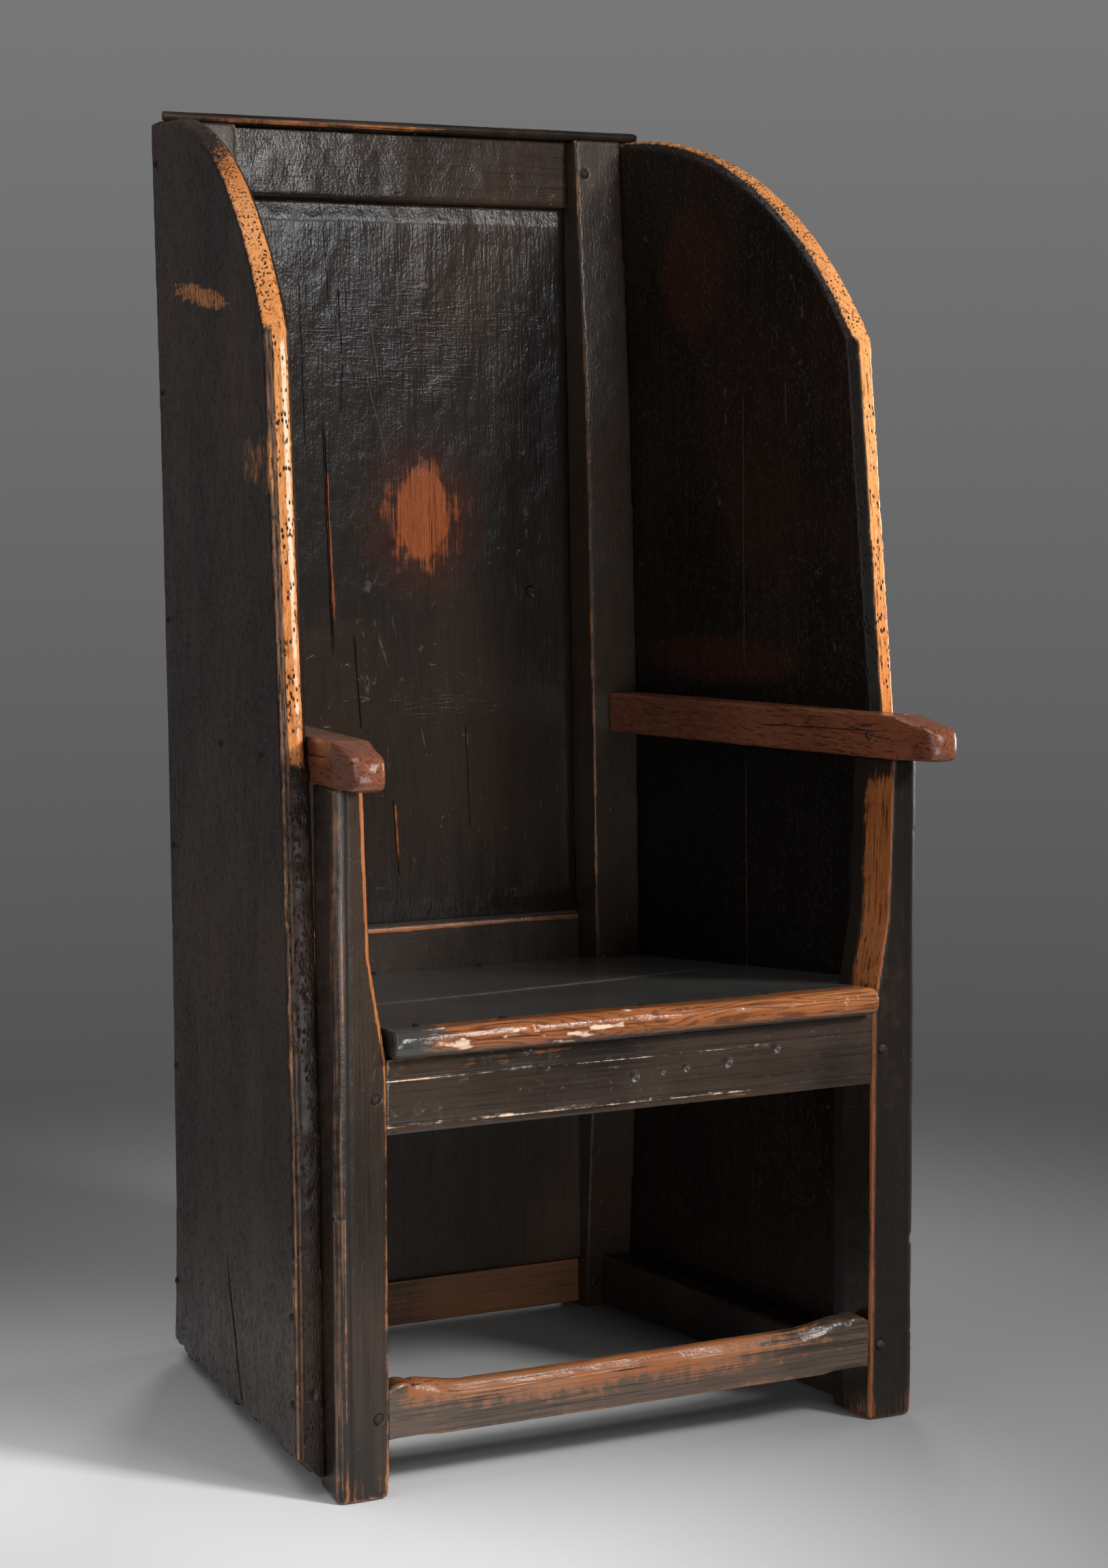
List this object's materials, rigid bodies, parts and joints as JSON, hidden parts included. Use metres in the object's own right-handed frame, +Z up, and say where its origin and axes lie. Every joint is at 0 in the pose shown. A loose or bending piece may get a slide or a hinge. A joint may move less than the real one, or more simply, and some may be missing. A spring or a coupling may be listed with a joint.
{
  "type": "wing armchair",
  "caption": "Tall boarded wooden wing armchair with full height side boards, raked panelled back, sloping seat and open arms on square front posts.",
  "frame": {"origin": "on the floor, under the middle of the chair's width and of its length", "axes": "+Z up, the front faces -Y, +X to the right seen from the front"},
  "size_m": [0.6374, 0.6141, 1.2496],
  "materials": {
    "frame_wood": "dark waxed patina",
    "board_wood": "dark waxed patina, worn to orange at the edges",
    "panel_wood": "dark waxed patina",
    "arm_wood": "polished by hands",
    "tread_wood": "worn bright by feet",
    "seat_wood": "polished dark, orange at the front edge",
    "peg_wood": "dark waxed patina",
    "nail_iron": "dark forged iron"
  },
  "bodies": {
    "root": {"front_post_left": "frame_wood", "front_post_right": "frame_wood", "rear_stile_left": "frame_wood", "rear_stile_right": "frame_wood", "wing_board_left": "board_wood", "wing_board_right": "board_wood", "arm_left": "arm_wood", "arm_right": "arm_wood", "cap_board": "frame_wood", "top_rail": "frame_wood", "back_panel": "panel_wood", "back_seat_rail": "frame_wood", "lower_back_panel": "panel_wood", "back_foot_rail": "frame_wood", "front_seat_rail": "frame_wood", "front_stretcher": "tread_wood", "side_stretcher_left": "frame_wood", "side_stretcher_right": "frame_wood", "side_seat_rail_left": "frame_wood", "side_seat_rail_right": "frame_wood", "seat_batten": "frame_wood", "seat_board_front": "seat_wood", "seat_board_rear": "seat_wood", "frame_pegs": "peg_wood", "arm_pegs": "peg_wood", "wing_nails": "nail_iron", "cap_nails": "nail_iron", "seat_nails": "nail_iron"}
  },
  "joints": []
}
